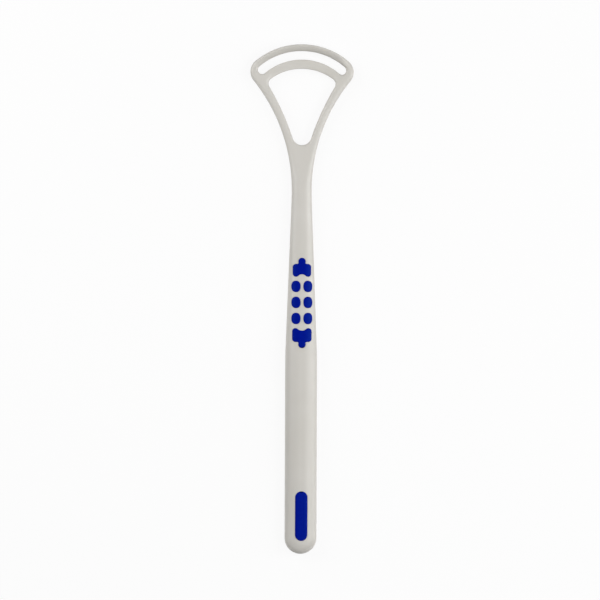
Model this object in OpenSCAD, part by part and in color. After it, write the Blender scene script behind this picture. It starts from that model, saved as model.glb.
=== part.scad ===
// Tongue scraper, moulded in two shots: a stiff white body and nine soft blue grip pads.
// The body runs along Y, with the scraping edge at +Y and the tail at -Y.
// The front, with the pads, faces +Z. The flat of the back lies on Z = 0.
// The origin lies on the resting plane, under the middle of the length.

/* [Overall] */
// Length from the tail to the scraping edge
total_l = 175; // [160:1:190]
// Height of the parting line, where the two mould halves meet, over the back
parting_z = 2.6; // [2.4:0.1:3]

/* [Head] */
// Width of the head over its two corners
head_w = 35.6; // [33:0.2:39]
// Distance from the scraping edge to the narrowest point of the neck
head_l = 50.1; // [47:0.1:56]
// Radius of the scraping edge, seen from the front
edge_r = 25.2; // [23.5:0.1:30]
// Radius of the two corners of the head
corner_r = 4.8; // [4:0.1:5.4]
// Thickness of the head plate
plate_t = 2.4; // [2:0.1:2.8]
// Width of the rounding along the outer rim of the head
rim_round = 1.6; // [1.1:0.05:1.8]
// Width of the rounding along the rims of the slot and the window
hole_round = 1.1; // [0.7:0.05:1.2]

/* [Scraping bars] */
// Width of the outer bar at its middle
outer_bar_w = 2.3; // [2.1:0.05:2.8]
// Height of the scraping ridge over the front of the head plate
ridge_h = 0.9; // [0.5:0.1:1.4]
// Distance from the scraping edge to the crest of the ridge
ridge_crest = 0.6; // [0.4:0.05:1.1]
// Length over which each end of the ridge fades into the head
ridge_fade_l = 7; // [4:0.5:10]
// Width of the slot between the two bars
slot_w = 2.9; // [2.4:0.1:3.2]
// Radius of the outer side of the slot, seen from the front
slot_bend_r = 21.95; // [21:0.05:22.9]
// Width of the inner bar at its middle
inner_bar_w = 3.15; // [2.8:0.05:4]
// Depth of the front of the inner bar below the front of the head plate
inner_bar_dip = 0.7; // [0.3:0.05:0.9]
// Length over which each end of that dip rises to the head plate
dip_fade_l = 4; // [3:0.1:6]
// Distance from the side of the head to the end of the dip
dip_margin = 4.45; // [4:0.05:5.5]
// Web between each end of the slot and the side of the head
slot_web = 2.85; // [2.4:0.05:3.6]

/* [Window] */
// Radius of the window along the inner bar
window_top_r = 17.9; // [17:0.1:22]
// Radius of the two upper corners of the window
window_corner_r = 1.5; // [1.1:0.1:2]
// Radius of the bowed sides of the window
window_side_r = 100; // [80:1:160]
// Radius of the bottom of the window
window_bottom_r = 3.1; // [2.6:0.1:3.5]
// Distance from the side of the head to the side of the window, at its upper corners
window_margin = 6.4; // [5.8:0.1:7.4]
// Length of solid throat between the narrowest point of the neck and the window
throat_l = 15.6; // [14:0.1:20]

/* [Neck and handle] */
// Width of the neck at its narrowest point
neck_w = 6.9; // [6.2:0.1:8]
// Height of the front of the neck over the resting plane
neck_front_z = 4.9; // [4.4:0.1:5.6]
// Height of the back of the neck over the resting plane
neck_back_z = 0.8; // [0.2:0.1:1.1]
// Width of the handle
handle_w = 11; // [10.4:0.1:12.4]
// Thickness of the handle
handle_t = 6.5; // [6.2:0.1:7.4]
// Length over which the neck widens to the full handle
taper_l = 59.5; // [56:0.5:66]
// Length of the handle's back that is flat before it rises to the neck
rest_l = 88; // [76:1:98]
// Length of the slope that thins the handle towards its tail
tail_slope_l = 27; // [22:1:40]
// Thickness of the handle at its tail, if its end were not rounded
tail_t = 5.6; // [5.3:0.1:6.1]
// Width of the rounding between the back and the sides of the handle
back_round = 2.3; // [1.6:0.1:2.8]

/* [Grip pads] */
// Distance from the scraping edge to the middle row of grip dots
grip_from_edge = 88.65; // [86:0.05:92]
// Width of a grip dot
dot_w = 3.1; // [2.7:0.1:3.4]
// Length of a grip dot
dot_l = 3.9; // [3.4:0.1:4.4]
// Distance between the two columns of dots, centre to centre
dot_column_pitch = 4.1; // [3.9:0.05:4.3]
// Distance between two rows of dots, centre to centre
dot_row_pitch = 5.49; // [5.2:0.01:6.2]
// Gap between the outer rows of dots and the crests
crest_gap = 1.35; // [1.2:0.05:1.8]
// Width of the upper crest
upper_crest_w = 6.3; // [5.8:0.05:6.6]
// Length of the upper crest
upper_crest_l = 6.5; // [6:0.05:7]
// Width of the lower crest
lower_crest_w = 6.65; // [6.2:0.05:7]
// Length of the lower crest
lower_crest_l = 6.85; // [6.2:0.05:7.2]
// Width of the bar near the tail
tail_bar_w = 4.2; // [3.6:0.1:5]
// Length of the bar near the tail
tail_bar_l = 17; // [12:0.05:20]
// Distance from the tail to the end of that bar
tail_bar_from_end = 4.65; // [4.2:0.05:6]
// Height by which the pads stand proud of the handle
pad_proud = 0.35; // [0.2:0.05:0.6]
// Depth of the pockets under the crown of the handle
pocket_depth = 1.9; // [1.6:0.1:2]

/* [Crest outline] */
// Radius of the knob at the tip of a crest
knob_r = 1.25; // [1.1:0.05:1.4]
// Distance from the tip of a crest down to its shoulders
shoulder_drop = 2.1; // [1.9:0.05:2.3]
// Radius of the shoulders
shoulder_r = 1.1; // [0.9:0.05:1.3]
// Radius of the hollow between the knob and the shoulders
hollow_r = 0.45; // [0.3:0.05:0.55]
// Radius of the two lobes
lobe_r = 1.1; // [0.95:0.05:1.15]
// Depth of the notch between the lobes
notch_depth = 0.85; // [0.7:0.05:0.95]

/* [Hidden] */

// Colours of the two plastics
body_colour = "#dcd9d3";
pad_colour = "#0b2b96";

// Hair gap between a pad and the wall of its pocket
bond_gap = 0.02;
// Hair by which the ridge stays inside the two sides of the outer bar
ridge_margin = 0.02;
// Hair by which the two ends of the dip's cut lie over the head plate
dip_lift = 0.02;
// Overrun of the cuts past the surface that they open
overrun = 0.4;
// Half the width of the small flats that close the body at its two ends
end_flat = 0.15;

// Facets along each stretch of the outline and round each section
tail_steps = 9;
straight_steps = 11;
taper_steps = 14;
arm_steps = 12;
corner_steps = 9;
edge_steps = 12;
front_steps = 6;
back_steps = 4;
hole_steps = 2;
window_side_steps = 8;
ridge_steps = 28;
ridge_section_steps = 8;
dip_steps = 18;
dot_steps = 24;
crest_steps = 5;
bar_steps = 8;

// Roundness of the sections: 2 is an ellipse, and more is squarer
front_power = 2.4;
back_power = 2.1;
dot_power = 2.35;
// Share of the half width that the rounded front takes up on the handle
crown_share = 0.93;
// Shares of the outline, and of the proud height, of the rings that round off a pad
pad_ring_shares = [[1, 0.25], [0.95, 0.72], [0.84, 0.95], [0.5, 1]];
// Share of the taper over which it starts and ends gently
taper_ease_share = 0.08;
// Share of the plate's own height that is left of the ridge where it has faded out
ridge_root_share = 0.85;
// Angle up to which the rims of the holes curve before they run straight out
rim_angle = 66;

// Points on the axis
edge_y = total_l/2;
tail_y = handle_w/2 - total_l/2;
neck_y = edge_y - head_l;
full_y = neck_y - taper_l;
rest_y = rest_l - total_l/2;
arc_y = edge_y - edge_r;
window_bottom_y = neck_y + throat_l;
window_top_y = edge_y - outer_bar_w - slot_w - inner_bar_w;

// Centre of each corner of the head, tangent inside the arc of the scraping edge
corner_x = head_w/2 - corner_r;
corner_y = arc_y + sqrt(pow(edge_r - corner_r, 2) - pow(corner_x, 2));
// Radius of the outer side of the arms, upright at the neck and tangent to the corner
arm_dx = neck_w/2 - corner_x;
arm_dy = corner_y - neck_y;
arm_r = (pow(arm_dx, 2) + pow(arm_dy, 2) - pow(corner_r, 2))/(2*(corner_r - arm_dx));
arm_x = neck_w/2 + arm_r;

// Centre of the slot's arcs, and its ends on the middle of its width
slot_cy = edge_y - outer_bar_w - slot_bend_r;
slot_r = slot_bend_r - slot_w/2;
slot_end_x = head_w/2 - slot_web - slot_w/2;
slot_end_angle = acos(slot_end_x/slot_r);

// Centres of the arcs that bound the window
window_top_cy = window_top_y - window_top_r;
window_bottom_cy = window_bottom_y + window_bottom_r;
window_corner_x = head_w/2 - window_margin - window_corner_r;
window_corner_cy = window_top_cy
    + sqrt(pow(window_top_r - window_corner_r, 2) - pow(window_corner_x, 2));
window_side_c = meeting([0, window_bottom_cy], window_side_r + window_bottom_r,
                        [window_corner_x, window_corner_cy], window_side_r + window_corner_r);

// Front and back of the head plate
plate_front_z = parting_z + plate_t/2;
plate_back_z = parting_z - plate_t/2;

// Rows of grip pads
grip_y = edge_y - grip_from_edge;
crest_offset = dot_row_pitch + dot_l/2 + crest_gap;
tail_bar_y = tail_bar_from_end + tail_bar_l/2 - total_l/2;

// Point at distance a from p and b from q, on the right of the way from p to q
function meeting(p, a, q, b) =
    let (d = norm(q - p), u = (q - p)/d, along = (a*a - b*b + d*d)/(2*d))
    p + along*u + sqrt(a*a - along*along)*[u[1], -u[0]];

// Angle of the direction from p to q
function heading(p, q) = atan2(q[1] - p[1], q[0] - p[0]);

// Smooth step from 0 to 1, and the blend of two values by it
function smooth(t) = let (s = min(max(t, 0), 1)) s*s*(3 - 2*s);
function mix(a, b, t) = a + (b - a)*smooth(t);

// Straight ramp from 0 to 1 whose first and last share e are parabolas
function ramp(t, e) =
    t < e ? t*t/(2*e*(1 - e))
    : t > 1 - e ? 1 - (1 - t)*(1 - t)/(2*e*(1 - e))
    : (t - e/2)/(1 - e);

// Points on an arc about c from angle a to angle b
function arc(c, r, a, b, n) =
    [for (i = [0:n]) let (t = a + (b - a)*i/n) c + r*[cos(t), sin(t)]];

// A list without its first entry, to join stretches that share a point
function onward(p) = [for (i = [1:len(p) - 1]) p[i]];

// Half an outline that starts and ends on the axis, and its mirror image, as a closed loop
function mirrored(p) = concat(p, [for (i = [len(p) - 2:-1:1]) [-p[i][0], p[i][1]]]);

// Half the width of the handle and the neck at height y on the axis
function half_width(y) =
    y < full_y ? handle_w/2
    : y > neck_y ? arm_x - sqrt(arm_r*arm_r - pow(y - neck_y, 2))
    : neck_w/2 + (handle_w - neck_w)/2*ramp((neck_y - y)/taper_l, taper_ease_share);

// Front and back of the body along its axis
function front_z(y) =
    y > neck_y ? mix(neck_front_z, plate_front_z, (y - neck_y)/throat_l)
    : y > full_y ? mix(handle_t, neck_front_z, (y - full_y)/taper_l)
    : mix(tail_t, handle_t, (y + total_l/2)/tail_slope_l);
function back_z(y) =
    y > neck_y ? mix(neck_back_z, plate_back_z, (y - neck_y)/throat_l)
    : mix(0, neck_back_z, (y - rest_y)/(neck_y - rest_y));

// Width of the rounded front and back, measured inwards from the outline
function front_round(y) =
    mix(crown_share*half_width(min(y, neck_y)), rim_round, (y - neck_y)/throat_l);
function back_round_at(y) =
    mix(back_round*half_width(min(y, neck_y))/(handle_w/2), rim_round, (y - neck_y)/throat_l);

// Distance of a point on the handle from its outline
function inset(x, y) = y > tail_y ? half_width(y) - abs(x) : handle_w/2 - norm([x, y - tail_y]);

// Height of the front of the handle over the resting plane
function handle_front(x, y) =
    let (s = min(inset(x, y)/front_round(y), 1))
    parting_z + (front_z(y) - parting_z)*pow(1 - pow(1 - s, front_power), 1/front_power);

// Stations on an arc: each is a point and the direction into the body
function stations(c, r, a, b, n, side) =
    [for (i = [0:n]) let (t = a + (b - a)*i/n, u = [cos(t), sin(t)]) [c + r*u, side*u]];
// Stations down the side of the handle, from y = a to y = b
function side_stations(a, b, n) =
    [for (i = [1:n]) let (y = a + (b - a)*i/n) [[half_width(y), y], [-1, 0]]];

// Right-hand outline of the body, from the tail to the scraping edge
outline = let (arm_c = [arm_x, neck_y], corner_c = [corner_x, corner_y], arc_c = [0, arc_y],
               at_arm = heading(arm_c, corner_c), at_edge = heading(arc_c, corner_c))
    concat(
        stations([0, tail_y], handle_w/2, asin(end_flat/(handle_w/2)) - 90, 0, tail_steps, -1),
        side_stations(tail_y, full_y, straight_steps),
        side_stations(full_y, neck_y, taper_steps),
        onward(stations(arm_c, arm_r, 180, at_arm, arm_steps, 1)),
        onward(stations(corner_c, corner_r, at_arm - 180, at_edge, corner_steps, -1)),
        onward(stations(arc_c, edge_r, at_edge, acos(end_flat/edge_r), edge_steps, -1)));

// Right half of the section at a station, from the flat back round the side to the front
function half_section(station) =
    let (p = station[0], into = station[1], y = p[1],
         front = front_z(y) - parting_z, back = parting_z - back_z(y),
         front_w = front_round(y), back_w = back_round_at(y))
    concat(
        [for (k = [back_steps:-1:1]) let (t = 90*k/back_steps,
            q = p + back_w*(1 - pow(cos(t), 2/back_power))*into)
            [q[0], q[1], parting_z - back*pow(sin(t), 2/back_power)]],
        [for (k = [0:front_steps]) let (t = 90*k/front_steps,
            q = p + front_w*(1 - pow(cos(t), 2/front_power))*into)
            [q[0], q[1], parting_z + front*pow(sin(t), 2/front_power)]]);

// Outline of the window, grown by g
function window_outline(g) =
    let (top_c = [0, window_top_cy], corner_c = [window_corner_x, window_corner_cy],
         bottom_c = [0, window_bottom_cy], at_top = heading(top_c, corner_c),
         at_corner = heading(window_side_c, corner_c),
         at_bottom = heading(window_side_c, bottom_c))
    mirrored(concat(
        arc(bottom_c, window_bottom_r + g, -90, at_bottom - 180, corner_steps),
        onward(arc(window_side_c, window_side_r - g, at_bottom, at_corner, window_side_steps)),
        onward(arc(corner_c, window_corner_r + g, at_corner - 180, at_top, corner_steps)),
        onward(arc(top_c, window_top_r + g, at_top, 90, edge_steps))));

// Outline of the slot, grown by g
function slot_outline(g) =
    let (c = [0, slot_cy], a = slot_end_angle, end_c = c + slot_r*[cos(a), sin(a)])
    mirrored(concat(
        arc(c, slot_r - slot_w/2 - g, 90, a, edge_steps),
        onward(arc(end_c, slot_w/2 + g, a - 180, a, corner_steps)),
        onward(arc(c, slot_r + slot_w/2 + g, a, 90, edge_steps))));

// Outline of a grip dot about its own centre, grown by g
function dot_outline(g) =
    [for (i = [0:dot_steps - 1]) let (t = 360*i/dot_steps, c = cos(t), s = sin(t))
        [(dot_w/2 + g)*sign(c)*pow(abs(c), 2/dot_power),
         (dot_l/2 + g)*sign(s)*pow(abs(s), 2/dot_power)]];

// Outline of the bar near the tail about its own centre, grown by g
function bar_outline(g) =
    let (r = tail_bar_w/2, s = tail_bar_l/2 - r)
    mirrored(concat(
        arc([0, -s], r + g, -90, 0, bar_steps),
        [for (i = [1:bar_steps - 1]) [r + g, s*(2*i/bar_steps - 1)]],
        arc([0, s], r + g, 0, 90, bar_steps)));

// Outline of a crest of width w and length l, grown by g, with its tip up at the origin
function crest_outline(w, l, g) =
    let (knob_c = [0, -knob_r], hollow_y = hollow_r - shoulder_drop,
         hollow_c = [sqrt(pow(knob_r + hollow_r, 2) - pow(hollow_y + knob_r, 2)), hollow_y],
         shoulder_c = [w/2 - shoulder_r, -shoulder_drop - shoulder_r],
         lobe_c = [w/2 - lobe_r, lobe_r - l],
         below = (pow(lobe_c[0], 2) - pow(notch_depth, 2))/(2*notch_depth),
         notch_c = [0, lobe_c[1] - below], notch_r = norm(lobe_c - notch_c) - lobe_r,
         at_knob = heading(knob_c, hollow_c), at_lobe = heading(notch_c, lobe_c))
    mirrored(concat(
        arc(notch_c, notch_r - g, 90, at_lobe, crest_steps),
        onward(arc(lobe_c, lobe_r + g, at_lobe - 180, 0, crest_steps)),
        arc(shoulder_c, shoulder_r + g, 0, 90, crest_steps),
        arc(hollow_c, hollow_r - g, 270, at_knob + 180, crest_steps),
        onward(arc(knob_c, knob_r + g, at_knob, 90, crest_steps))));

// Outlines of the pads where they lie, grown by g
function crest_up(g) =
    [for (p = crest_outline(upper_crest_w, upper_crest_l, g))
        p + [0, grip_y + crest_offset + upper_crest_l]];
function crest_down(g) =
    [for (p = crest_outline(lower_crest_w, lower_crest_l, g))
        [0, grip_y - crest_offset - lower_crest_l] - p];
function dot_at(side, row, g) = [for (p = dot_outline(g)) p + dot_place(side, row)];
function bar_at(g) = [for (p = bar_outline(g)) p + [0, tail_bar_y]];

// Centre of a grip dot: side is -1 or 1, and row counts down from the upper crest
function dot_place(side, row) =
    [side*dot_column_pitch/2, grip_y + (2 - row)*dot_row_pitch];
// Middle of each crest, from which its whole outline can be seen
upper_crest_place = [0, grip_y + crest_offset + upper_crest_l/2];
lower_crest_place = [0, grip_y - crest_offset - lower_crest_l/2];
tail_bar_place = [0, tail_bar_y];

// Height of the flat floor of the pocket round a place
function floor_z(place) = front_z(place[1]) - pocket_depth;

// Side walls through a stack of level rings, each with n points, as pairs of triangles
function walls(count, n) =
    [for (i = [0:count - 2]) for (j = [0:n - 1])
        let (a = i*n + j, b = i*n + (j + 1)%n) each [[a, a + n, b + n], [a, b + n, b]]];
// Strips that close the two ends of a stack of symmetric rings, from side to side
function end_strips(count, n) =
    [for (j = [0:n/2 - 2]) let (a = n - 1 - j, o = (count - 1)*n)
        each [[j, j + 1, a - 1], [j, a - 1, a],
              [o + j, o + a, o + a - 1], [o + j, o + a - 1, o + j + 1]]];
// Flat ends of a stack of level rings
function flat_ends(count, n) =
    [[for (j = [0:n - 1]) j], [for (j = [n - 1:-1:0]) (count - 1)*n + j]];

// Closed solid through rings of points, with the faces that close its two ends
module skin(rings, ends) {
    polyhedron([for (r = rings) each r], concat(walls(len(rings), len(rings[0])), ends),
               convexity = 8);
}

// The white moulding without its ridge, holes and pockets, as a loft along the body
module blank() {
    rings = [for (s = outline) let (h = half_section(s))
        concat([for (p = h) [-p[0], p[1], p[2]]], [for (i = [len(h) - 1:-1:0]) h[i]])];
    skin(rings, end_strips(len(rings), len(rings[0])));
}

// Radius of the slot's outer side about the centre of the scraping edge, at an angle off the axis
function slot_side_r(turn) =
    let (d = slot_cy - arc_y) d*cos(turn) + sqrt(pow(slot_bend_r, 2) - pow(d*sin(turn), 2));

// Scraping ridge of the outer bar: steep towards the edge, with a long flank down to the slot,
// and fading into the corners of the head
module ridge() {
    reach = 90 - heading([0, arc_y], [corner_x, corner_y]);
    crest_r = edge_r - ridge_crest;
    rings = [for (i = [0:ridge_steps])
        let (turn = reach*(2*i/ridge_steps - 1),
             fade = (reach - abs(turn))*PI/180*crest_r/ridge_fade_l,
             h = mix(plate_t/2*ridge_root_share, plate_t/2 + ridge_h, fade),
             flank_w = crest_r - slot_side_r(turn) - ridge_margin)
        [for (k = [0:ridge_section_steps])
            let (t = 180*k/ridge_section_steps, c = pow(abs(cos(t)), 2/back_power),
                 r = crest_r + (t < 90 ? (ridge_crest - ridge_margin)*c : -flank_w*c))
            [r*sin(turn), arc_y + r*cos(turn), parting_z + h*pow(sin(t), 2/back_power)]]];
    skin(rings, flat_ends(len(rings), len(rings[0])));
}

// Shallow cut that lowers the front of the inner bar, from inside the slot to inside the window
module inner_dip() {
    low_r = window_top_y - arc_y - 2*hole_round;
    high_r = slot_cy + slot_r - arc_y;
    bar_r = window_top_y + inner_bar_w/2 - arc_y;
    reach = asin((head_w/2 - dip_margin)/bar_r);
    top = plate_front_z + overrun;
    rings = [for (i = [0:dip_steps])
        let (turn = reach*(2*i/dip_steps - 1),
             fade = (reach - abs(turn))*PI/180*bar_r/dip_fade_l,
             bed = plate_front_z + mix(dip_lift, -inner_bar_dip, fade))
        [for (q = [[high_r, bed], [high_r, top], [low_r, top], [low_r, bed]])
            [q[0]*sin(turn), arc_y + q[0]*cos(turn), q[1]]]];
    skin(rings, flat_ends(len(rings), len(rings[0])));
}

// Levels of a hole whose two rims are rounded: each is a height and a growth of the outline
hole_levels = let (half = plate_t/2, s = sin(rim_angle), c = cos(rim_angle),
                   spread = hole_round*(1 - c)
                       + (half*(1 - s) + overrun)*hole_round*s/(half*c))
    concat([[parting_z - half - overrun, spread]],
           [for (k = [-hole_steps:hole_steps]) let (t = rim_angle*k/hole_steps)
               [parting_z + half*sin(t), hole_round*(1 - cos(t))]],
           [[parting_z + half + overrun, spread]]);

module window_hole() {
    rings = [for (l = hole_levels) [for (p = window_outline(l[1])) [p[0], p[1], l[0]]]];
    skin(rings, flat_ends(len(rings), len(rings[0])));
}

module slot_hole() {
    rings = [for (l = hole_levels) [for (p = slot_outline(l[1])) [p[0], p[1], l[0]]]];
    skin(rings, flat_ends(len(rings), len(rings[0])));
}

// Blind pocket of the given outline, down to the floor of its pad
module pocket(points, place) {
    translate([0, 0, floor_z(place)])
        linear_extrude(handle_t + overrun - floor_z(place)) polygon(points);
}

// Pad that fills its pocket and stands proud of the handle, with a crowned top that follows it
module pad(points, place) {
    n = len(points);
    top = handle_front(place[0], place[1]) + pad_proud;
    rings = concat(
        [[for (p = points) [p[0], p[1], floor_z(place)]]],
        [for (s = pad_ring_shares) [for (p = points) let (q = place + s[0]*(p - place))
            [q[0], q[1], handle_front(q[0], q[1]) + s[1]*pad_proud]]]);
    m = len(rings)*n;
    fan = [for (j = [0:n - 1]) [m - n + j, m, m - n + (j + 1)%n]];
    color(pad_colour)
        polyhedron(concat([for (r = rings) each r], [[place[0], place[1], top]]),
                   concat(walls(len(rings), n), [[for (j = [0:n - 1]) j]], fan), convexity = 4);
}

module scraper_body() {
    color(body_colour) {
        difference() {
            blank();
            window_hole();
            slot_hole();
            inner_dip();
            pocket(crest_up(bond_gap), upper_crest_place);
            pocket(crest_down(bond_gap), lower_crest_place);
            pocket(bar_at(bond_gap), tail_bar_place);
            for (side = [-1, 1]) for (row = [1:3])
                pocket(dot_at(side, row, bond_gap), dot_place(side, row));
        }
        ridge();
    }
}

module upper_grip_crest() { pad(crest_up(0), upper_crest_place); }
module lower_grip_crest() { pad(crest_down(0), lower_crest_place); }
module tail_grip_bar() { pad(bar_at(0), tail_bar_place); }
module grip_dot(side, row) { pad(dot_at(side, row, 0), dot_place(side, row)); }

scraper_body();
upper_grip_crest();
lower_grip_crest();
tail_grip_bar();
grip_dot(-1, 1);  // grip_dot_left_1
grip_dot(-1, 2);  // grip_dot_left_2
grip_dot(-1, 3);  // grip_dot_left_3
grip_dot(1, 1);  // grip_dot_right_1
grip_dot(1, 2);  // grip_dot_right_2
grip_dot(1, 3);  // grip_dot_right_3
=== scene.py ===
import math

import bpy
import numpy as np
from mathutils import Matrix, Vector
from mathutils.geometry import delaunay_2d_cdt


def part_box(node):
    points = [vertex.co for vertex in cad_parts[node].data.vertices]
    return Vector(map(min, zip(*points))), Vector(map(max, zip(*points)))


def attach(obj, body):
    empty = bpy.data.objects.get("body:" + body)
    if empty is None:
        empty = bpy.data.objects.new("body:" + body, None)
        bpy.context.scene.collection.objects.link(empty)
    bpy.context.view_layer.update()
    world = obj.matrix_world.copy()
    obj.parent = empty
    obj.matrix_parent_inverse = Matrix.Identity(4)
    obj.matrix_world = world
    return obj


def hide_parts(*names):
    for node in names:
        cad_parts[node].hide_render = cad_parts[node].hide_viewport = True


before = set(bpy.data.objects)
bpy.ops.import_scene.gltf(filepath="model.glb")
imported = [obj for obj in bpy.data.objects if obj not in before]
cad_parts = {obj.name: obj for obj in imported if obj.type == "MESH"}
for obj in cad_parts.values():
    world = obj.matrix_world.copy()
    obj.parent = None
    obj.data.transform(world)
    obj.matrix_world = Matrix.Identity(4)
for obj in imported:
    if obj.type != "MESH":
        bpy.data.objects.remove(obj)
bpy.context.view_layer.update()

bl_info = {
    "name": "Tongue Scraper",
    "version": (1, 0, 0),
    "blender": (4, 5, 0),
    "location": "View3D > Sidebar > Scraper",
    "description": "Moulds a two-shot tongue scraper from its sizes and finishes",
    "category": "Add Mesh",
}

MM = 0.001
BODY_LO, BODY_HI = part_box("scraper_body")
SIDES = ("left", "right")
ROWS = (1, 2, 3)
WHITE = (1, 1, 1, 1)


def length(name, description, millimetres):
    """A length that a user can change, in metres."""
    return bpy.props.FloatProperty(name=name, description=description, default=millimetres*MM,
                                   min=0, unit="LENGTH", precision=5)


def share(name, description, value, high=1.0):
    """A plain factor that a user can change."""
    return bpy.props.FloatProperty(name=name, description=description, default=value, min=0,
                                   max=high, subtype="FACTOR")


def angle(name, description, degrees):
    """An angle that a user can change."""
    return bpy.props.FloatProperty(name=name, description=description,
                                   default=math.radians(degrees), subtype="ANGLE")


def lamp_power(name, description, watts):
    """Power of a lamp that a user can change."""
    return bpy.props.FloatProperty(name=name, description=description, default=watts, min=0,
                                   unit="POWER")


def linear(hex_colour):
    """Linear RGB of an sRGB colour that is written as hex."""
    channels = [int(hex_colour[i:i + 2], 16)/255 for i in (1, 3, 5)]
    return [c/12.92 if c <= 0.04045 else ((c + 0.055)/1.055)**2.4 for c in channels]


def colour(name, description, hex_colour):
    """A colour that a user can change."""
    return bpy.props.FloatVectorProperty(name=name, description=description, size=3, min=0, max=1,
                                         default=linear(hex_colour), subtype="COLOR")


class HeadSizes(bpy.types.PropertyGroup):
    """Sizes of the scraping head."""
    width: length("Width", "Width of the head over its two corners", (BODY_HI.x - BODY_LO.x)/MM)
    height: length("Length", "From the scraping edge to the narrowest point of the neck", 50.1)
    edge_r: length("Edge radius", "Radius of the scraping edge, seen from the front", 25.2)
    corner_r: length("Corner radius", "Radius of the two corners of the head", 4.8)
    plate_t: length("Plate", "Thickness of the head plate", 2.4)
    rim_round: length("Rim rounding", "Rounding along the outer rim of the head", 1.6)
    hole_round: length("Hole rounding", "Rounding along the rims of the slot and the window", 1.1)
    outer_bar_w: length("Outer bar", "Width of the outer bar at its middle", 2.33)
    ridge_h: length("Ridge", "Height of the scraping ridge over the head plate", 0.9)
    ridge_crest: length("Ridge crest", "From the scraping edge to the crest of the ridge", 0.6)
    ridge_fade: length("Ridge fade", "Length over which each end of the ridge fades out", 5)
    ridge_run: length("Ridge run", "Length of the ridge past each end of the edge's arc", 1.2)
    flank_h: length("Flank", "Height of the ridge's flank, from the slot up to the crest", 1.4)
    flank_foot: length("Flank foot", "Rounding along the slot at the foot of the flank", 0.3)
    slot_w: length("Slot", "Width of the slot between the two bars", 2.92)
    slot_bend_r: length("Slot bend", "Radius of the outer side of the slot", 22.6)
    inner_bar_w: length("Inner bar", "Width of the inner bar at its middle", 3.15)
    inner_bar_dip: length("Inner bar dip", "Depth of the inner bar's front below the frame", 0.7)
    dip_fade: length("Dip fade", "Length over which each end of the dip rises", 4)
    dip_margin: length("Dip margin", "From the side of the head to the end of the dip", 4.45)
    slot_web: length("Slot web", "Web between each end of the slot and the head's side", 2.6)
    window_top_r: length("Window top", "Radius of the window along the inner bar", 17.9)
    window_corner_r: length("Window corners", "Radius of the window's upper corners", 2.1)
    window_side_r: length("Window sides", "Radius of the window's bowed sides", 90)
    window_bottom_r: length("Window bottom", "Radius of the window's bottom", 3.3)
    window_margin: length("Window margin", "From the head's side to the window's side", 6.3)
    throat: length("Throat", "Solid throat between the neck and the window", 15.5)


class HandleSizes(bpy.types.PropertyGroup):
    """Sizes of the neck and the handle."""
    parting_z: length("Parting line", "Height of the parting line over the back", 2.6)
    neck_w: length("Neck width", "Width of the neck at its narrowest point", 6.9)
    neck_front_z: length("Neck front", "Height of the front of the neck", 4.9)
    neck_back_z: length("Neck back", "Height of the back of the neck", 0.8)
    width: length("Width", "Width of the handle", 11)
    thickness: length("Thickness", "Thickness of the handle", BODY_HI.z/MM)
    taper: length("Taper", "Length over which the neck widens to the full handle", 59.5)
    rest: length("Rest", "Length of the flat back before it rises to the neck", 88)
    tail_slope: length("Tail slope", "Length of the slope that thins the handle's tail", 27)
    tail_t: length("Tail thickness", "Thickness of the handle at its tail", 5.6)
    back_round: length("Back rounding", "Rounding between the back and the sides", 2.3)
    crown: share("Crown", "Share of the half width that the rounded front takes up", 0.93)


class PadSizes(bpy.types.PropertyGroup):
    """Sizes of the soft grip pads."""
    proud: length("Proud", "Height of the pads over the handle", 0.33)
    rounding: length("Rounding", "Rounding along the edge of a pad", 0.42)
    groove: length("Groove", "Gap between a pad and the wall of its pocket", 0.01)
    pocket_round: length("Pocket rim", "Rounding along the rim of a pocket", 0.06)
    knob_r: length("Knob", "Radius of the knob at the tip of a crest", 1.25)
    shoulder_drop: length("Shoulder drop", "From the tip of a crest to its shoulders", 2.1)
    shoulder_r: length("Shoulders", "Radius of the shoulders of a crest", 1.1)
    hollow_r: length("Hollow", "Radius of the hollow between knob and shoulders", 0.45)
    lobe_r: length("Lobes", "Radius of the two lobes of a crest", 1.1)
    notch_depth: length("Notch", "Depth of the notch between the lobes", 0.85)


class Finishes(bpy.types.PropertyGroup):
    """Colours and surface figures of the two plastics."""
    white: colour("White plastic", "Colour of the white body", "#d2cfc9")
    white_flow: colour("White flow", "Colour of the body's faint flow marks", "#cdcac3")
    gate: colour("Gate", "Colour of the dull speck at the gate", "#a8a49c")
    white_gloss: share("White roughness", "Roughness of the satin white body", 0.36)
    blue: colour("Blue grip", "Colour of the soft grip pads", "#001090")
    blue_deep: colour("Blue grip, deep", "Colour of the darker flecks of the pads", "#000c88")
    nib: colour("Nib", "Colour of the stubs where the soft plastic was let in", "#000a3c")
    blue_gloss: share("Blue roughness", "Roughness of the soft grip pads", 0.42)


class StageSizes(bpy.types.PropertyGroup):
    """View and light of the stage."""
    view_width: length("View width", "Width that the picture covers at the object", 206.1)
    focal: bpy.props.FloatProperty(name="Focal length", description="Focal length of the lens",
                                   default=200, min=1, unit="CAMERA")
    yaw: angle("Yaw", "Angle of the camera to the left of the front", 4)
    roll: angle("Roll", "Angle by which the camera is turned about its own axis", 0.2)
    aim: bpy.props.FloatVectorProperty(name="Aim", description="Point at the picture's middle",
                                       size=2, default=(-0.446*MM, -0.322*MM), unit="LENGTH",
                                       precision=5)
    key: lamp_power("Key", "Power of the lamp on the right", 1.47)
    high: lamp_power("High", "Power of the high lamp at the lower right", 0.87)
    edge: lamp_power("Edge", "Power of the low lamp on the right", 1.1)
    fill: lamp_power("Fill", "Power of the lamp on the left", 1.53)
    ambient: share("Ambient", "Strength of the light from all round", 0.11, 2.0)
    paleness: share("Paleness", "Share of plain white in the floor's look", 0.9)


def smooth(t):
    """Step from 0 to 1: three t squared less two t cubed."""
    s = np.clip(t, 0, 1)
    return s*s*(3 - 2*s)


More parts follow.
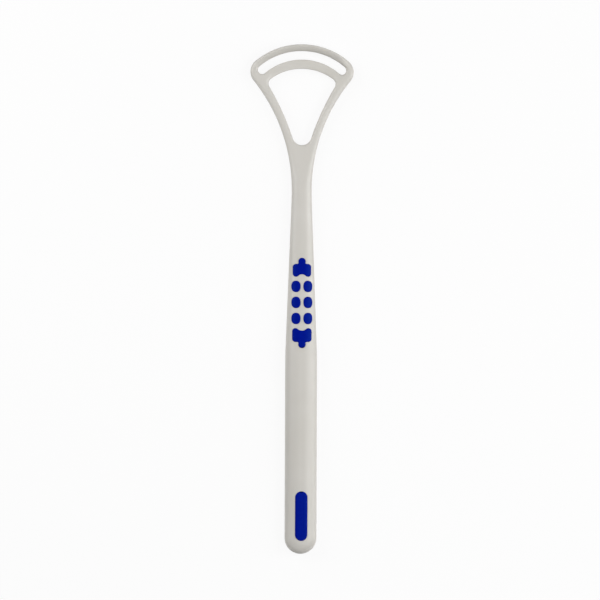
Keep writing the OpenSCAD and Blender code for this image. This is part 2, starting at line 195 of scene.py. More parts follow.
def mix(a, b, t):
    """Blend from a to b by the smooth step of t."""
    return a + (b - a)*smooth(t)


def ramp(t, ease=0.08):
    """Straight ramp from 0 to 1 whose first and last shares are parabolas."""
    low = t*t/(2*ease*(1 - ease))
    high = 1 - (1 - t)**2/(2*ease*(1 - ease))
    return np.where(t < ease, low, np.where(t > 1 - ease, high, (t - ease/2)/(1 - ease)))


def quarter(s, power):
    """Height share of a quarter superellipse, from 0 at its foot to 1 where s reaches 1."""
    return (1 - (1 - np.clip(s, 0, 1))**power)**(1/power)


def heading(p, q):
    """Angle of the direction from p to q."""
    return math.atan2(q[1] - p[1], q[0] - p[0])


def meeting(p, a, q, b):
    """Point at distance a from p and b from q, on the right of the way from p to q."""
    p, q = np.asarray(p, float), np.asarray(q, float)
    d = np.hypot(*(q - p))
    u = (q - p)/d
    along = (a*a - b*b + d*d)/(2*d)
    return p + along*u + math.sqrt(a*a - along*along)*np.array([u[1], -u[0]])


# An outline is an array of stations, each with a place x, y and the unit vector that points
# into the material. Closed outlines run counter-clockwise, seen from the front.

def arc(centre, r, start, end, material, spacing):
    """Stations on a circle: centre + r (cos t, sin t), with t in even steps.

    material is 1 where the material lies outside the circle and -1 where it lies inside.
    """
    count = max(2, math.ceil(abs(end - start)*r/spacing))
    t = np.linspace(start, end, count + 1)
    u = np.stack([np.cos(t), np.sin(t)], axis=1)
    return np.hstack([np.asarray(centre) + r*u, material*u])


def line(p, q, inward, spacing):
    """Stations on a straight stretch: p + (q - p) t, with t in even steps."""
    p, q = np.asarray(p, float), np.asarray(q, float)
    t = np.linspace(0, 1, max(1, math.ceil(np.hypot(*(q - p))/spacing)) + 1)[:, None]
    return np.hstack([p + (q - p)*t, np.tile(np.asarray(inward, float), (len(t), 1))])


def closed(*stretches):
    """Closed outline from the stretches of its right half, which start and end on the axis."""
    right = np.vstack([stretches[0]] + [s[1:] for s in stretches[1:]])
    return np.vstack([right, right[-2:0:-1]*(-1, 1, -1, 1)])


def shifted(outline, inset=0.0, x=0.0, y=0.0):
    """Outline moved by x, y, with each station moved along its vector by the inset."""
    moved = outline.copy()
    moved[:, :2] += inset*outline[:, 2:] + (x, y)
    return moved


def inset_of(points, outline, block=4000):
    """Depth of each point inside the material: its offset from the nearest station, along
    that station's vector."""
    depth = np.empty(len(points))
    for start in range(0, len(points), block):
        part = slice(start, start + block)
        offset = points[part, None, :2] - outline[None, :, :2]
        nearest = (offset**2).sum(axis=2).argmin(axis=1)
        rows = np.arange(len(nearest))
        depth[part] = (offset[rows, nearest]*outline[nearest, 2:]).sum(axis=1)
    return depth


class Moulding:
    """Outlines and heights of the white body, worked out from its sizes. The powers are those of
    the superellipses along the front's rims, the back's rims and the ridge's flank, and the
    spacing is that of the stations on the outlines."""
    front_power = 2.4
    back_power = 2.1
    flank_power = 1.22
    spacing = 0.34*MM

    def __init__(self, head, handle):
        self.head, self.handle = head, handle
        self.edge_y = BODY_HI.y
        self.tail_y = BODY_LO.y + handle.width/2
        self.neck_y = self.edge_y - head.height
        self.full_y = self.neck_y - handle.taper
        self.rest_y = BODY_LO.y + handle.rest
        self.arc_y = self.edge_y - head.edge_r
        self.slot_y = self.edge_y - head.outer_bar_w - head.slot_bend_r
        self.slot_r = head.slot_bend_r - head.slot_w/2
        self.outer = self.outer_outline()
        self.window = self.window_outline()
        self.slot = self.slot_outline()

    def half_width(self, y):
        """Half the neck's width, widened by the eased ramp to half the handle's width."""
        a, b = self.handle.neck_w/2, self.handle.width/2
        return a + (b - a)*ramp(np.clip((self.neck_y - y)/self.handle.taper, 0, 1))

    def outer_outline(self):
        """Tail semicircle, straight side, ramped taper, and arcs along arm, corner and edge. The
        turn of the edge's arc from the axis is kept as the reach of the ridge."""
        head, step = self.head, self.spacing
        corner_x = head.width/2 - head.corner_r
        corner = (corner_x, self.arc_y
                  + math.sqrt((head.edge_r - head.corner_r)**2 - corner_x**2))
        dx, dy = self.handle.neck_w/2 - corner_x, corner[1] - self.neck_y
        arm_r = (dx*dx + dy*dy - head.corner_r**2)/(2*(head.corner_r - dx))
        arm = (self.handle.neck_w/2 + arm_r, self.neck_y)
        edge = (0, self.arc_y)
        at_arm, at_edge = heading(arm, corner), heading(edge, corner)
        self.ridge_reach = math.pi/2 - at_edge
        half = self.handle.width/2
        y = np.linspace(self.full_y, self.neck_y, math.ceil(self.handle.taper/step))
        x = self.half_width(y)
        taper = np.stack([x, y, -np.ones_like(x), np.gradient(x, y)], axis=1)
        taper[:, 2:] /= np.hypot(taper[:, 2], taper[:, 3])[:, None]
        return closed(
            arc((0, self.tail_y), half, -math.pi/2, 0, -1, step),
            line((half, self.tail_y), (half, self.full_y), (-1, 0), 2*step),
            taper[::2],
            arc(arm, arm_r, math.pi, at_arm, 1, 2*step),
            arc(corner, head.corner_r, at_arm - math.pi, at_edge, -1, step),
            arc(edge, head.edge_r, at_edge, math.pi/2, -1, step))

    def window_outline(self):
        """Arcs round the bottom, up the bowed side, round the corner and along the top."""
        head, step = self.head, self.spacing
        top = (0, self.edge_y - head.outer_bar_w - head.slot_w - head.inner_bar_w
               - head.window_top_r)
        bottom = (0, self.neck_y + head.throat + head.window_bottom_r)
        corner_x = head.width/2 - head.window_margin - head.window_corner_r
        corner = (corner_x, top[1]
                  + math.sqrt((head.window_top_r - head.window_corner_r)**2 - corner_x**2))
        side = meeting(bottom, head.window_side_r + head.window_bottom_r,
                       corner, head.window_side_r + head.window_corner_r)
        at_bottom, at_corner = heading(side, bottom), heading(side, corner)
        at_top = heading(top, corner)
        return closed(
            arc(bottom, head.window_bottom_r, -math.pi/2, at_bottom - math.pi, 1, step),
            arc(side, head.window_side_r, at_bottom, at_corner, -1, step),
            arc(corner, head.window_corner_r, at_corner - math.pi, at_top, 1, step/2),
            arc(top, head.window_top_r, at_top, math.pi/2, 1, step))

    def slot_outline(self):
        """Arc along the inner bar, round the slot's end, and back along the outer bar."""
        head, step = self.head, self.spacing
        centre, half = (0, self.slot_y), self.head.slot_w/2
        end_x = head.width/2 - head.slot_web - half
        at_end = math.acos(end_x/self.slot_r)
        end = (end_x, self.slot_y + self.slot_r*math.sin(at_end))
        return closed(
            arc(centre, self.slot_r - half, math.pi/2, at_end, -1, step),
            arc(end, half, at_end - math.pi, at_end, 1, step/2),
            arc(centre, self.slot_r + half, at_end, math.pi/2, 1, step))

    def front_z(self, y):
        """Height of the crown along the axis: tail slope, neck and throat, as smooth steps."""
        handle, plate = self.handle, self.handle.parting_z + self.head.plate_t/2
        tail = mix(handle.tail_t, handle.thickness, (y - BODY_LO.y)/handle.tail_slope)
        neck = mix(handle.thickness, handle.neck_front_z, (y - self.full_y)/handle.taper)
        throat = mix(handle.neck_front_z, plate, (y - self.neck_y)/self.head.throat)
        return np.where(y > self.neck_y, throat, np.where(y > self.full_y, neck, tail))

    def back_z(self, y):
        """Height of the back along the axis: flat, then two smooth steps up to the plate."""
        plate = self.handle.parting_z - self.head.plate_t/2
        rise = mix(0, self.handle.neck_back_z, (y - self.rest_y)/(self.neck_y - self.rest_y))
        throat = mix(self.handle.neck_back_z, plate, (y - self.neck_y)/self.head.throat)
        return np.where(y > self.neck_y, throat, rise)

    def rounding(self, y, at_handle):
        """Width of the rounding from the outline inwards, which narrows to the head's rim."""
        wide = at_handle*self.half_width(np.minimum(y, self.neck_y))
        return mix(wide, self.head.rim_round, (y - self.neck_y)/self.head.throat)

    def past_slot(self, points):
        """Offset of each point from the middle of the slot's arc, outwards."""
        return np.hypot(points[:, 0], points[:, 1] - self.slot_y) - self.slot_r

    def crest_share(self, points):
        """1 on the outer bar, fading out smoothly towards its ends and across the slot."""
        head = self.head
        turn = np.arctan2(np.abs(points[:, 0]), points[:, 1] - self.arc_y)
        left = (self.ridge_reach - turn)*(head.edge_r - head.ridge_crest) + head.ridge_run
        return smooth(left/head.ridge_fade)*smooth(2*self.past_slot(points)/head.slot_w)

    def dip_share(self, points):
        """1 on the inner bar, rising smoothly to 0 at its ends and across the slot."""
        head = self.head
        bar_r = (self.edge_y - head.outer_bar_w - head.slot_w - head.inner_bar_w/2) - self.arc_y
        turn = np.arctan2(np.abs(points[:, 0]), points[:, 1] - self.arc_y)
        left = (math.asin((head.width/2 - head.dip_margin)/bar_r) - turn)*bar_r
        return smooth(left/head.dip_fade)*smooth(-2*self.past_slot(points)/head.slot_w)

    def front(self, points):
        """Front: height over the parting line times a quarter superellipse for each rim. On the
        outer bar, part of the height is the flank, a wider and straighter superellipse."""
        head, y = self.head, points[:, 1]
        crest = self.crest_share(points)
        rim, window, slot = (inset_of(points, o) for o in (self.outer, self.window, self.slot))
        height = (self.front_z(y) - self.handle.parting_z + crest*head.ridge_h
                  - self.dip_share(points)*head.inner_bar_dip)
        rim_r = self.rounding(y, self.handle.crown)
        rim_r = rim_r + (head.ridge_crest - rim_r)*crest
        flank_w, flank_h = head.outer_bar_w - head.ridge_crest, head.flank_h*crest
        foot_r = head.hole_round + (head.flank_foot - head.hole_round)*crest
        height = ((height - flank_h)*quarter(slot/foot_r, self.front_power)
                  + flank_h*quarter(slot/flank_w, self.flank_power))
        return self.handle.parting_z + (height*quarter(rim/rim_r, self.front_power)
                                        *quarter(window/head.hole_round, self.front_power))

    def back(self, points):
        """Back: depth under the parting line times a quarter superellipse for each rim."""
        head, y = self.head, points[:, 1]
        rim, window, slot = (inset_of(points, o) for o in (self.outer, self.window, self.slot))
        depth = self.handle.parting_z - self.back_z(y)
        rim_r = self.rounding(y, self.handle.back_round/(self.handle.width/2))
        return self.handle.parting_z - (depth*quarter(rim/rim_r, self.back_power)
                                        *quarter(window/head.hole_round, self.back_power)
                                        *quarter(slot/head.hole_round, self.back_power))


class Skin:
    """Points and faces of a closed surface, gathered as whole arrays."""

    def __init__(self):
        self.points, self.faces, self.count = [], [], 0

    def add(self, plan, z):
        """Add points at the places of a plan and at heights z, and return their numbers."""
        plan = np.atleast_2d(plan)[:, :2]
        self.points.append(np.column_stack([plan, np.broadcast_to(z, len(plan))]))
        self.count += len(plan)
        return np.arange(self.count - len(plan), self.count)

    def strip(self, a, b, turned=False):
        """Quads between two closed rings of equal length."""
        quads = np.stack([a, np.roll(a, -1), np.roll(b, -1), b], axis=1)
        self.faces += (quads[:, ::-1] if turned else quads).tolist()

    def fan(self, ring, pole, turned=False):
        """Triangles from a closed ring to one point."""
        tris = np.stack([ring, np.roll(ring, -1), np.full(len(ring), pole)], axis=1)
        self.faces += (tris[:, ::-1] if turned else tris).tolist()

    def land(self, numbers, plan, rings, turned=False):
        """Triangles over the plan between its outer ring and the rings of its holes."""
        corners = [Vector(p) for p in plan[:, :2].tolist()]
        whole_hull, nearness = 0, 1e-9
        result = delaunay_2d_cdt(corners, [], [r.tolist() for r in rings], whole_hull, nearness)
        inside = np.array([t for t, of in zip(result[2], result[5]) if list(of) == [0]])
        tris = numbers[inside]
        self.faces += (tris[:, ::-1] if turned else tris).tolist()

    def mesh(self, name, sharp=50):
        """Smooth mesh whose edges are sharp past the given angle in degrees."""
        mesh = bpy.data.meshes.new(name)
        mesh.from_pydata(np.vstack(self.points).tolist(), [], self.faces)
        mesh.shade_smooth()
        mesh.set_sharp_from_angle(angle=math.radians(sharp))
        return mesh


def place_piece(name, mesh, material, slot, *nodes):
    """Put a finished mesh into the scene as a piece that stands for the given nodes."""
    piece = bpy.data.objects.new(name, mesh)
    bpy.context.scene.collection.objects.link(piece)
    mesh.materials.append(material)
    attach(piece, "root")
    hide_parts(*nodes)
    return piece


def cover(skin, rims, bands, height, spacing, up):
    """Front or back sheet: rows along each rim, and a lattice of points over the land between.

    rims are pairs of an outline and the numbers of its points on the parting line or on the
    front, and bands gives the width of the rows at each of them. height gives z over a plan,
    spacing is that of the lattice, and up is true for the front.
    """
    count, power, row_share, margin_share = 9, 2.3, 0.87, 0.5
    t = np.linspace(0, math.pi/2, count + 1)[1:]
    shares = 1 - np.cos(t)**(2/power)
    plans, rings, innermost = [], [], []
    for (outline, numbers), band in zip(rims, bands):
        rows = [outline[:, :2] + (band*s)[:, None]*outline[:, 2:] for s in shares]
        plans += rows
        innermost.append(np.hstack([rows[-1], outline[:, 2:]]))
    low, high = innermost[0][:, :2].min(axis=0), innermost[0][:, :2].max(axis=0)
    across = np.arange(low[0], high[0], spacing)
    along = np.arange(low[1], high[1], spacing*row_share)
    lattice = np.stack(np.meshgrid(across, along), axis=-1)
    lattice[1::2, :, 0] += spacing/2
    lattice = lattice.reshape(-1, 2)
    for ring in innermost:
        lattice = lattice[inset_of(lattice, ring) > margin_share*spacing]
    plan = np.vstack(plans + [lattice])
    numbers = skin.add(plan, height(plan))
    at = 0
    for order, (outline, ring) in enumerate(rims):
        turned = (order == 0) != up
        for row in range(count):
            after = numbers[at:at + len(outline)]
            if ring is not None or row:
                skin.strip(ring, after, turned)
            ring = after
            at += len(outline)
        rings.append(ring - numbers[0])
    skin.land(numbers, plan, rings, not up)
    return numbers


def pocket_drop(points, pockets, radius):
    """Depth of the rounded rim round the pockets: a quarter circle from rim to land."""
    return radius*(1 - quarter(inset_of(points, pockets)/radius, 2))


def crest_outline(pads, width, height):
    """Arcs round notch, lobe, shoulder, hollow and knob, with the tip up at the origin."""
    step = 0.12*MM
    knob = (0, -pads.knob_r)
    hollow_y = pads.hollow_r - pads.shoulder_drop
    reach = pads.knob_r + pads.hollow_r
    hollow = (math.sqrt(reach**2 - (hollow_y - knob[1])**2), hollow_y)
    shoulder = (width/2 - pads.shoulder_r, -pads.shoulder_drop - pads.shoulder_r)
    lobe = (width/2 - pads.lobe_r, pads.lobe_r - height)
    below = (lobe[0]**2 - pads.notch_depth**2)/(2*pads.notch_depth)
    notch = (0, lobe[1] - below)
    notch_r = math.hypot(lobe[0], below) - pads.lobe_r
    at_knob, at_lobe = heading(knob, hollow), heading(notch, lobe)
    quarter_turn = math.pi/2
    return closed(
        arc(notch, notch_r, quarter_turn, at_lobe, 1, step),
        arc(lobe, pads.lobe_r, at_lobe - math.pi, 0, -1, step),
        line((width/2, lobe[1]), (width/2, shoulder[1]), (-1, 0), step),
        arc(shoulder, pads.shoulder_r, 0, quarter_turn, -1, step),
        line((shoulder[0], -pads.shoulder_drop), (hollow[0], -pads.shoulder_drop), (0, -1), step),
        arc(hollow, pads.hollow_r, 3*quarter_turn, at_knob + math.pi, 1, step),
        arc(knob, pads.knob_r, at_knob, quarter_turn, -1, step))


def dot_outline(width, height, power=2.35, count=96):
    """Superellipse: |x/a|^power + |y/b|^power = 1, with stations at even angles."""
    t = np.linspace(0, 2*math.pi, count, endpoint=False) - math.pi/2
    u = np.stack([np.cos(t), np.sin(t)], axis=1)
    half = np.array([width/2, height/2])
    place = half*np.sign(u)*np.abs(u)**(2/power)
    gradient = np.sign(u)*np.abs(place/half)**(power - 1)/half
    return np.hstack([place, -gradient/np.hypot(*gradient.T)[:, None]])


def bar_outline(width, height):
    """Two semicircles joined by straight sides."""
    r, step = width/2, 0.2*MM
    s = height/2 - r
    return closed(arc((0, -s), r, -math.pi/2, 0, -1, step),
                  line((r, -s), (r, s), (-1, 0), 2*step),
                  arc((0, s), r, 0, math.pi/2, -1, step))


def pad_outline(pads, node):
    """Outline of a pad where its node lies, with its size from the node's box."""
    low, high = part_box(node)
    width, height = high.x - low.x, high.y - low.y
    x, y = (low.x + high.x)/2, (low.y + high.y)/2
    if node == "upper_grip_crest":
        return shifted(crest_outline(pads, width, height), x=x, y=high.y)
    if node == "lower_grip_crest":
        turned = crest_outline(pads, width, height)*(-1, -1, -1, -1)
        return shifted(turned, x=x, y=low.y)
    if node == "tail_grip_bar":
        return shifted(bar_outline(width, height), x=x, y=y)
    return shifted(dot_outline(width, height), x=x, y=y)


CREST_NODES = ["upper_grip_crest", "lower_grip_crest"]
DOT_NODES = ["grip_dot_%s_%d" % (side, row) for side in SIDES for row in ROWS]
TAIL_NODES = ["tail_grip_bar"]
PAD_NODES = CREST_NODES + DOT_NODES + TAIL_NODES


def body_mesh(head, handle, pads):
    """The white body: a front and a back sheet that meet on the parting line, with pockets."""
    mould = Moulding(head, handle)
    skin = Skin()
    rims = [(o, skin.add(o, handle.parting_z)) for o in (mould.outer, mould.window, mould.slot)]
    front_band, back_band, head_band, window_band = 0.55*MM, 2.4*MM, 1.0*MM, 0.9*MM
    spacing = 0.45*MM

    def bands(at_handle):
        """Widths of the rows along the outer rim, the window and the slot."""
        y = mould.outer[:, 1]
        outer = mix(at_handle, head_band, (y - mould.neck_y)/head.throat)
        return [outer, np.full(len(mould.window), window_band),
                np.full(len(mould.slot), head_band)]

    pockets = []
    for node in PAD_NODES:
        pocket = shifted(pad_outline(pads, node), inset=-pads.groove)
        pocket[:, 2:] *= -1
        pockets.append(pocket)
    merged = np.vstack(pockets)

    def front(plan):
        """The front with the rounded rims of the pockets."""
        return mould.front(plan) - pocket_drop(plan, merged, pads.pocket_round)

    cover(skin, rims, bands(back_band), mould.back, spacing, False)
    for node, pocket in zip(PAD_NODES, pockets):
        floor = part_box(node)[0].z - pads.groove
        rim = skin.add(pocket, front(pocket[:, :2]))
        foot = skin.add(pocket, floor)
        skin.strip(rim, foot)
        centre = skin.add(pocket[:, :2].mean(axis=0), floor)
        skin.fan(foot, centre[0])
        rims.append((pocket, rim))
    front_bands = bands(front_band) + [np.full(len(p), pads.pocket_round) for p in pockets]
    cover(skin, rims, front_bands, front, spacing, True)
    return skin.mesh("white_body")


def pad_mesh(mould, pads, node):
    """A pad: a skirt up from its floor, a rounded edge, and a crown that follows the handle."""
    outline = pad_outline(pads, node)
    low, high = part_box(node)
    middle = np.array([(low.x + high.x)/2, (low.y + high.y)/2])
    skin = Skin()
    floor = skin.add(outline, low.z)
    skin.fan(floor, skin.add(middle, low.z)[0], True)
    ring = skin.add(outline, mould.front(outline[:, :2]))
    skin.strip(floor, ring)
    edge_steps, crown_shares = 7, (0.9, 0.78, 0.64, 0.5, 0.36, 0.22, 0.1)
    t = np.linspace(0, math.pi/2, edge_steps + 1)[1:]
    plans = [outline[:, :2] + pads.rounding*(1 - math.cos(k))*outline[:, 2:] for k in t]
    plans += [middle + s*(plans[-1] - middle) for s in crown_shares]
    lifts = [math.sin(k) for k in t] + [1]*len(crown_shares)
    for plan, lift in zip(plans, lifts):
        after = skin.add(plan, mould.front(plan) + pads.proud*lift)
        skin.strip(ring, after)
        ring = after
    top = mould.front(middle[None, :])[0] + pads.proud
    skin.fan(ring, skin.add(middle, top)[0])
    return skin.mesh(node + "_pad")


def add(tree, kind, inputs=None, **settings):
    """Add a node, set its fields, and set each named input or link it to (node, output)."""
    node = tree.nodes.new(kind)
    for name, value in settings.items():
        setattr(node, name, value)
    for name, value in (inputs or {}).items():
        if isinstance(value, tuple) and isinstance(value[0], bpy.types.Node):
            tree.links.new(value[0].outputs[value[1]], node.inputs[name])
        else:
            node.inputs[name].default_value = value
    return node


def new_material(name):
    """Empty node material, its tree and its Principled shader."""
    material = bpy.data.materials.new(name)
    material.use_nodes = True
    tree = material.node_tree
    tree.nodes.clear()
    shader = add(tree, "ShaderNodeBsdfPrincipled")
    add(tree, "ShaderNodeOutputMaterial", {"Surface": (shader, "BSDF")})
    return material, tree, shader


def noise(tree, coords, size, detail=2.0):
    """Noise whose blotches are about as wide as the given size."""
    return add(tree, "ShaderNodeTexNoise", {"Vector": (coords, "Object"), "Scale": 1/size,
                                            "Detail": detail})


def spread(tree, source, low, high, start=0.3, end=0.7):
    """Map the middle of a noise, from start to end, to the range from low to high."""
    return add(tree, "ShaderNodeMapRange", {"Value": source, "From Min": start, "From Max": end,
                                            "To Min": low, "To Max": high})


def spot(tree, coords, place, reach, core=0.35):
    """1 at a place and over the core share of its reach, fading to 0 at the reach."""
    apart = add(tree, "ShaderNodeVectorMath", {0: (coords, "Object"), 1: place},
                operation="DISTANCE")
    return spread(tree, (apart, "Value"), 1, 0, core*reach, reach)


def finished(material, tree, shader, tint, roughness, bump, fixed):
    """Link a finish's colour, roughness and bump to its shader, and set its fixed values."""
    tree.links.new(tint[0].outputs[tint[1]], shader.inputs["Base Color"])
    tree.links.new(roughness[0].outputs[roughness[1]], shader.inputs["Roughness"])
    tree.links.new(bump.outputs["Normal"], shader.inputs["Normal"])
    for name, value in fixed.items():
        shader.inputs[name].default_value = value
    return material


def satin_polypropylene(scene):
    """Polypropylene, injection moulded in a finely spark-eroded tool: a warm white satin with
    a broad soft sheen, faint flow marks, a hairline where the mould halves met, and a dull
    speck at the gate. The grain is drawn coarser than the real 0.05 mm, so that it shows."""
    finish = scene.scraper_finish
    flow_size, patch_size, grain_size, grain_depth = 14*MM, 2.5*MM, 0.3*MM, 0.0012*MM
    flow_detail, gloss_spread, seam_w, seam_depth = 3.0, 0.03, 0.05*MM, 0.01*MM
    gate_side, gate_in, gate_up, gate_reach = 1.0*MM, 0.25*MM, 0.6*MM, 0.75*MM
    gate = (gate_side, BODY_HI.y - gate_in, scene.scraper_handle.parting_z + gate_up)
    material, tree, shader = new_material("satin_moulded_polypropylene")
    coords = add(tree, "ShaderNodeTexCoord")
    flow = spread(tree, (noise(tree, coords, flow_size, flow_detail), "Fac"), 0, 1)
    tint = add(tree, "ShaderNodeMix", {"Factor": (flow, "Result"), "A": (*finish.white, 1),
                                       "B": (*finish.white_flow, 1)}, data_type="RGBA")
    mark = spot(tree, coords, gate, gate_reach)
    marked = add(tree, "ShaderNodeMix", {"Factor": (mark, "Result"), "A": (tint, "Result"),
                                         "B": (*finish.gate, 1)}, data_type="RGBA")
    gloss = finish.white_gloss
    patches = spread(tree, (noise(tree, coords, patch_size), "Fac"),
                     gloss - gloss_spread, gloss + gloss_spread)
    place = add(tree, "ShaderNodeSeparateXYZ", {"Vector": (coords, "Object")})
    over = add(tree, "ShaderNodeMath", {0: (place, "Z"), 1: scene.scraper_handle.parting_z},
               operation="SUBTRACT")
    off = add(tree, "ShaderNodeMath", {0: (over, "Value")}, operation="ABSOLUTE")
    seam = spread(tree, (off, "Value"), seam_depth, 0, 0, seam_w)
    grain = add(tree, "ShaderNodeMath", {0: (noise(tree, coords, grain_size), "Fac"),
                                         1: grain_depth, 2: (seam, "Result")},
                operation="MULTIPLY_ADD")
    bump = add(tree, "ShaderNodeBump", {"Height": (grain, "Value"), "Distance": 1.0})
    return finished(material, tree, shader, (marked, "Result"), (patches, "Result"), bump,
                    {"IOR": 1.49, "Subsurface Weight": 0.1, "Subsurface Scale": 0.8*MM,
                     "Subsurface Radius": (1.0, 0.9, 0.8)})


def satin_elastomer(scene):
    """Thermoplastic elastomer, moulded over the body in a second shot: a deep even blue with
    a dull soft skin, slightly darker flecks, no bright highlights, and a dark stub of the gate
    at the tips of the lower crest and the tail bar."""
    finish = scene.scraper_finish
    fleck_size, grain_size, grain_depth, gloss_spread = 1.1*MM, 0.22*MM, 0.002*MM, 0.05
    crest_low, bar_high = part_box("lower_grip_crest")[0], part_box("tail_grip_bar")[1]
    nib_in, nib_side, nib_reach = 0.1*MM, 0.3*MM, 0.6*MM
    material, tree, shader = new_material("satin_moulded_elastomer")
    coords = add(tree, "ShaderNodeTexCoord")
    flecks = spread(tree, (noise(tree, coords, fleck_size), "Fac"), 0, 1)
    tint = add(tree, "ShaderNodeMix", {"Factor": (flecks, "Result"), "A": (*finish.blue, 1),
                                       "B": (*finish.blue_deep, 1)}, data_type="RGBA")
    top = BODY_HI.z + scene.scraper_pads.proud/2
    nibs = [spot(tree, coords, place, nib_reach)
            for place in ((nib_side, crest_low.y + nib_in, top), (0, bar_high.y - nib_in, top))]
    nib = add(tree, "ShaderNodeMath", {0: (nibs[0], "Result"), 1: (nibs[1], "Result")},
              operation="MAXIMUM")
    marked = add(tree, "ShaderNodeMix", {"Factor": (nib, "Value"), "A": (tint, "Result"),
                                         "B": (*finish.nib, 1)}, data_type="RGBA")
    gloss = finish.blue_gloss
    skin = noise(tree, coords, grain_size)
    dull = spread(tree, (skin, "Fac"), gloss - gloss_spread, gloss + gloss_spread)
    grain = add(tree, "ShaderNodeMath", {0: (skin, "Fac"), 1: grain_depth},
                operation="MULTIPLY")
    bump = add(tree, "ShaderNodeBump", {"Height": (grain, "Value"), "Distance": 1.0})
    return finished(material, tree, shader, (marked, "Result"), (dull, "Result"), bump,
                    {"IOR": 1.48, "Specular IOR Level": 0.1, "Specular Tint": (0.2, 0.8, 1.0, 1)})


def plain_view(tree):
    """1 for rays that the picture, a gloss or a clear body sees, and 0 for rays that light."""
    path = add(tree, "ShaderNodeLightPath")
    gloss = add(tree, "ShaderNodeMath", {0: (path, "Is Camera Ray"), 1: (path, "Is Glossy Ray")},
                operation="MAXIMUM")
    return add(tree, "ShaderNodeMath", {0: (gloss, "Value"), 1: (path, "Is Transmission Ray")},
               operation="MAXIMUM")


def pale_floor_material(stage):
    """Matt white board: near white in view, where the object's soft shadow stays faint."""
    board_white = (0.9, 0.9, 0.9, 1)
    material = bpy.data.materials.new("matt_white_board")
    material.use_nodes = True
    tree = material.node_tree
    tree.nodes.clear()
    board = add(tree, "ShaderNodeBsdfDiffuse", {"Color": board_white})
    glow = add(tree, "ShaderNodeEmission", {"Color": WHITE, "Strength": 1.0})
    seen = add(tree, "ShaderNodeMath", {0: (plain_view(tree), "Value"), 1: stage.paleness},
               operation="MULTIPLY")
    mixed = add(tree, "ShaderNodeMixShader", {0: (seen, "Value"), 1: (board, "BSDF"),
                                              2: (glow, "Emission")})
    add(tree, "ShaderNodeOutputMaterial", {"Surface": (mixed, "Shader")})
    return material


def pale_world(stage):
    """White where the picture or a gloss sees it, and the ambient light elsewhere."""
    world = bpy.data.worlds.new("pale_room")
    world.use_nodes = True
    tree = world.node_tree
    tree.nodes.clear()
    ambient = add(tree, "ShaderNodeBackground", {"Color": WHITE, "Strength": stage.ambient})
    white = add(tree, "ShaderNodeBackground", {"Color": WHITE, "Strength": 1.0})
    mixed = add(tree, "ShaderNodeMixShader", {0: (plain_view(tree), "Value"),
                                              1: (ambient, "Background"),
                                              2: (white, "Background")})
    add(tree, "ShaderNodeOutputWorld", {"Surface": (mixed, "Shader")})
    return world


# Each lamp's name, its place and the width of its square, in metres.
LAMPS = (("key", (0.5, 0.1, 0.5), 0.3), ("high", (0.25, -0.15, 0.5), 0.3),
         ("edge", (0.6, 0.0, 0.2), 0.3), ("fill", (-0.35, 0.2, 0.3), 0.4))


def place_lamp(name, power, place, size):
    """Square soft lamp at a place, turned to the middle of the object."""
    lamp = bpy.data.objects.new(name, bpy.data.lights.new(name, "AREA"))
    lamp.data.energy, lamp.data.size = power, size
    lamp.matrix_world = (Matrix.Translation(place)
                         @ Vector(place).to_track_quat("Z", "Y").to_matrix().to_4x4())
    lamp.visible_camera = False
    bpy.context.scene.collection.objects.link(lamp)


def place_camera(scene, stage):
    """Long lens, looking down on the front from slightly to the left."""
    camera = bpy.data.objects.new("camera", bpy.data.cameras.new("camera"))
    scene.collection.objects.link(camera)
    camera.data.lens = stage.focal
    distance = stage.view_width*stage.focal/camera.data.sensor_width
    back = Vector((-math.sin(stage.yaw), 0, math.cos(stage.yaw)))
    right = Vector((0, 1, 0)).cross(back)
    turn = Matrix((right, back.cross(right), back)).transposed().to_4x4()
    aim = Vector((*stage.aim, scene.scraper_handle.parting_z))
    camera.matrix_world = (Matrix.Translation(aim + distance*back) @ turn
                           @ Matrix.Rotation(stage.roll, 4, "Z"))
    scene.camera = camera


class SCRAPER_OT_stage(bpy.types.Operator):
    """Set the pale floor, the soft light and the camera"""
    bl_idname = "scraper.stage"
    bl_label = "Stage"

    def execute(self, context):
        scene, stage = context.scene, context.scene.scraper_stage
        place_camera(scene, stage)
        reach, drop = 1.5, 0.02*MM
        mesh = bpy.data.meshes.new("floor")
        mesh.from_pydata([(-reach, -reach, -drop), (reach, -reach, -drop),
                          (reach, reach, -drop), (-reach, reach, -drop)], [], [(0, 1, 2, 3)])
        mesh.materials.append(pale_floor_material(stage))
        floor = bpy.data.objects.new("floor", mesh)
        scene.collection.objects.link(floor)
        for name, place, size in LAMPS:
            place_lamp(name + "_lamp", getattr(stage, name), place, size)
        scene.world = pale_world(stage)
        scene.view_settings.view_transform = "Standard"
        return {"FINISHED"}


class SCRAPER_OT_body(bpy.types.Operator):
    """Mould the white body with its two bars, window, neck, handle and pockets"""
    bl_idname = "scraper.body"
    bl_label = "White Body"

    def execute(self, context):
        scene = context.scene
        mesh = body_mesh(scene.scraper_head, scene.scraper_handle, scene.scraper_pads)
        place_piece("white_moulding", mesh, satin_polypropylene(scene), "white_plastic",
                    "scraper_body")
        return {"FINISHED"}


def place_pads(scene, nodes):
    """Mould the pads of the given nodes, which share one finish."""
    mould = Moulding(scene.scraper_head, scene.scraper_handle)
    material = bpy.data.materials.get("satin_moulded_elastomer") or satin_elastomer(scene)
    for node in nodes:
        mesh = pad_mesh(mould, scene.scraper_pads, node)
        place_piece(node + "_pad", mesh, material, "blue_soft_grip", node)


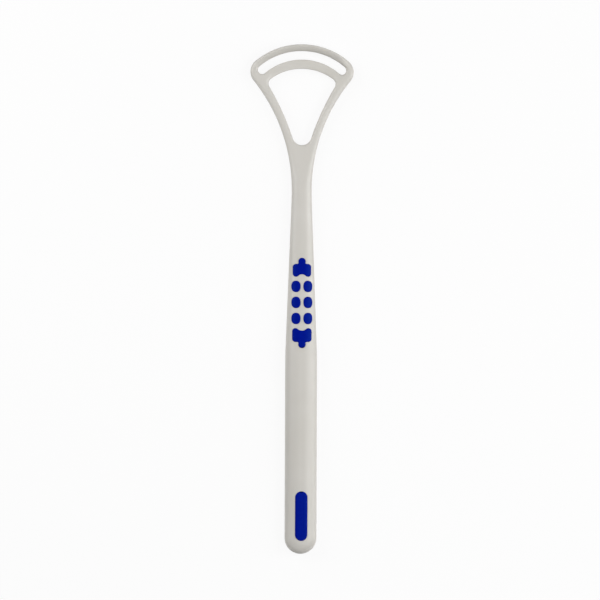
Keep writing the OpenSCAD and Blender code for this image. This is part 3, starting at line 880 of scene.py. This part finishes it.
class SCRAPER_OT_crests(bpy.types.Operator):
    """Mould the two crests above and below the grip dots"""
    bl_idname = "scraper.crests"
    bl_label = "Grip Crests"

    def execute(self, context):
        place_pads(context.scene, CREST_NODES)
        return {"FINISHED"}


class SCRAPER_OT_dots(bpy.types.Operator):
    """Mould the six grip dots"""
    bl_idname = "scraper.dots"
    bl_label = "Grip Dots"

    def execute(self, context):
        place_pads(context.scene, DOT_NODES)
        return {"FINISHED"}


class SCRAPER_OT_tail_bar(bpy.types.Operator):
    """Mould the grip bar near the tail"""
    bl_idname = "scraper.tail_bar"
    bl_label = "Tail Grip Bar"

    def execute(self, context):
        place_pads(context.scene, TAIL_NODES)
        return {"FINISHED"}


class VIEW3D_PT_scraper(bpy.types.Panel):
    """Lists the pieces of the scraper and its stage, and the sizes of each group."""
    bl_label = "Tongue Scraper"
    bl_space_type = "VIEW_3D"
    bl_region_type = "UI"
    bl_category = "Scraper"

    def draw(self, context):
        for operator in OPERATORS:
            self.layout.operator(operator.bl_idname)
        for name, group in GROUPS.items():
            sizes = self.layout.column()
            for size in group.__annotations__:
                sizes.prop(getattr(context.scene, name), size)


GROUPS = {"scraper_head": HeadSizes, "scraper_handle": HandleSizes, "scraper_pads": PadSizes,
          "scraper_finish": Finishes, "scraper_stage": StageSizes}
OPERATORS = (SCRAPER_OT_stage, SCRAPER_OT_body, SCRAPER_OT_crests, SCRAPER_OT_dots,
             SCRAPER_OT_tail_bar)


def register():
    for name, group in GROUPS.items():
        bpy.utils.register_class(group)
        setattr(bpy.types.Scene, name, bpy.props.PointerProperty(type=group))
    for item in (*OPERATORS, VIEW3D_PT_scraper):
        bpy.utils.register_class(item)


def unregister():
    for item in (VIEW3D_PT_scraper, *reversed(OPERATORS)):
        bpy.utils.unregister_class(item)
    for name, group in GROUPS.items():
        delattr(bpy.types.Scene, name)
        bpy.utils.unregister_class(group)


def main():
    register()
    bpy.ops.scraper.stage()
    bpy.ops.scraper.body()
    bpy.ops.scraper.crests()
    bpy.ops.scraper.dots()
    bpy.ops.scraper.tail_bar()


if __name__ == "__main__":
    main()
